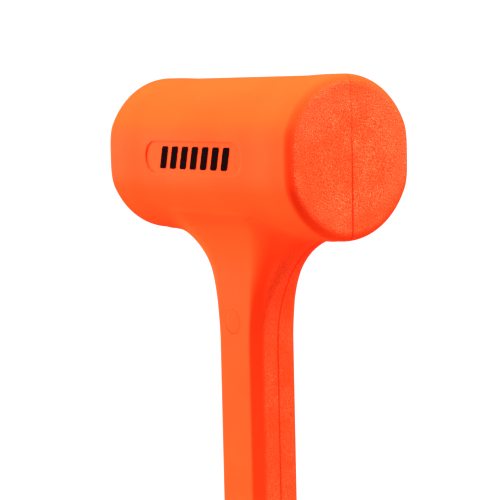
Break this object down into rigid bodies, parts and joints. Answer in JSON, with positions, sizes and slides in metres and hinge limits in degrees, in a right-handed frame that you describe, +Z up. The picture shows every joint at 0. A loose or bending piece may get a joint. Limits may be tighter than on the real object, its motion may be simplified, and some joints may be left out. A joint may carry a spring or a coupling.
{
  "type": "dead blow mallet",
  "caption": "Dead blow mallet with a cast orange urethane head and handle over a welded steel core, and loose shot that slides inside the head.",
  "frame": {"origin": "centre of the underside of the butt, with the mallet standing upright on it", "axes": "+Z up along the handle to the head, +X along the striking axis to the right striking face, -Y to the front side with the badge"},
  "size_m": [0.123, 0.0604, 0.3498],
  "materials": {
    "cast_urethane": "satin cast polyurethane, neon orange, finely pebbled on the striking faces",
    "badge_ink": "matt black filled-in mark",
    "core_steel": "drawn mild steel",
    "weld_steel": "as welded",
    "shot_steel": "polished round shot"
  },
  "bodies": {
    "mallet": {"cast_body": "cast_urethane", "pin_plug_upper_front": "cast_urethane", "pin_plug_upper_rear": "cast_urethane", "pin_plug_lower_front": "cast_urethane", "pin_plug_lower_rear": "cast_urethane", "badge_front": "badge_ink", "badge_rear": "badge_ink", "canister_tube": "core_steel", "canister_cap_left": "core_steel", "canister_cap_right": "core_steel", "cap_weld_left": "weld_steel", "cap_weld_right": "weld_steel", "handle_rod": "core_steel", "rod_weld": "weld_steel"},
    "shot_1": {"shot_layer_1": "shot_steel"},
    "shot_2": {"shot_layer_2": "shot_steel"},
    "shot_3": {"shot_layer_3": "shot_steel"},
    "shot_4": {"shot_layer_4": "shot_steel"},
    "shot_5": {"shot_layer_5": "shot_steel"},
    "shot_6": {"shot_layer_6": "shot_steel"}
  },
  "joints": [
    {"name": "shot_1_slide", "type": "slide", "parent": "mallet", "child": "shot_1", "axis": [1, 0, 0], "range_m": [-0.0172, 0.0172]},
    {"name": "shot_2_slide", "type": "slide", "parent": "mallet", "child": "shot_2", "axis": [1, 0, 0], "range_m": [-0.0172, 0.0172]},
    {"name": "shot_3_slide", "type": "slide", "parent": "mallet", "child": "shot_3", "axis": [1, 0, 0], "range_m": [-0.0172, 0.0172]},
    {"name": "shot_4_slide", "type": "slide", "parent": "mallet", "child": "shot_4", "axis": [1, 0, 0], "range_m": [-0.0172, 0.0172]},
    {"name": "shot_5_slide", "type": "slide", "parent": "mallet", "child": "shot_5", "axis": [1, 0, 0], "range_m": [-0.0172, 0.0172]},
    {"name": "shot_6_slide", "type": "slide", "parent": "mallet", "child": "shot_6", "axis": [1, 0, 0], "range_m": [-0.0172, 0.0172]}
  ]
}
